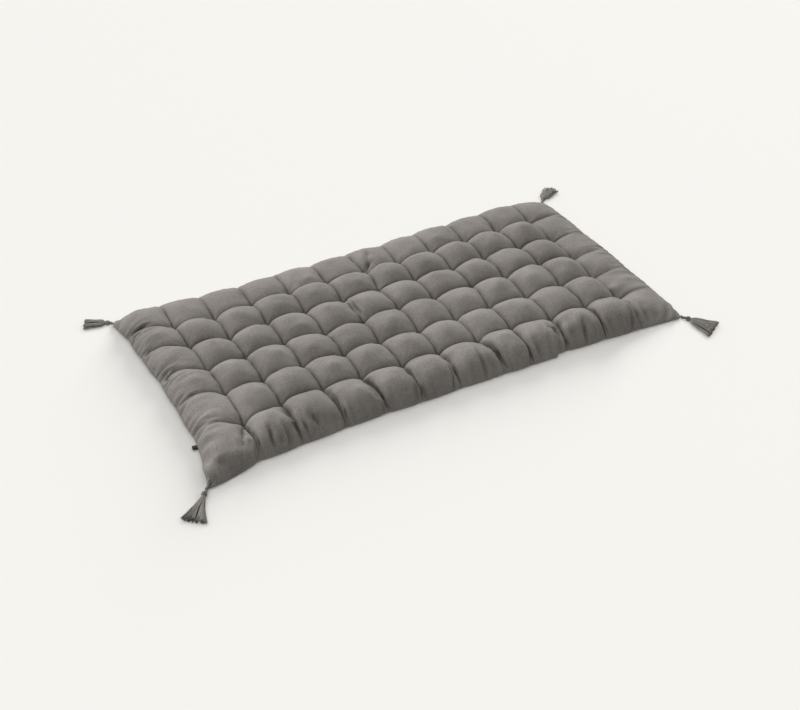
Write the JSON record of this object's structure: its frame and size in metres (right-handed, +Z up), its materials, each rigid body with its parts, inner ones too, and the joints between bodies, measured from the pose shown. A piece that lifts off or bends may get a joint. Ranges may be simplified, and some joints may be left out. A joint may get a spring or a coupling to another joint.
{
  "type": "tufted floor mattress with corner tassels",
  "caption": "Long thin filled cloth mattress that lies on the floor, tied down in a grid of round puffs, with a knotted thread tassel at each corner and a small label in a seam.",
  "frame": {"origin": "on the floor, under the middle of the whole footprint with its tassels", "axes": "+X along the length, towards the right end in the picture; +Y towards the back long side; +Z up from the floor"},
  "size_m": [1.371, 0.783, 0.0591],
  "materials": {
    "cotton_cover": "matte",
    "tassel_thread": "matte",
    "label_ribbon": "matte"
  },
  "bodies": {
    "root": {"cushion": "cotton_cover", "tassel_front_left": "tassel_thread", "tassel_front_right": "tassel_thread", "tassel_back_left": "tassel_thread", "tassel_back_right": "tassel_thread", "label": "label_ribbon"}
  },
  "joints": []
}
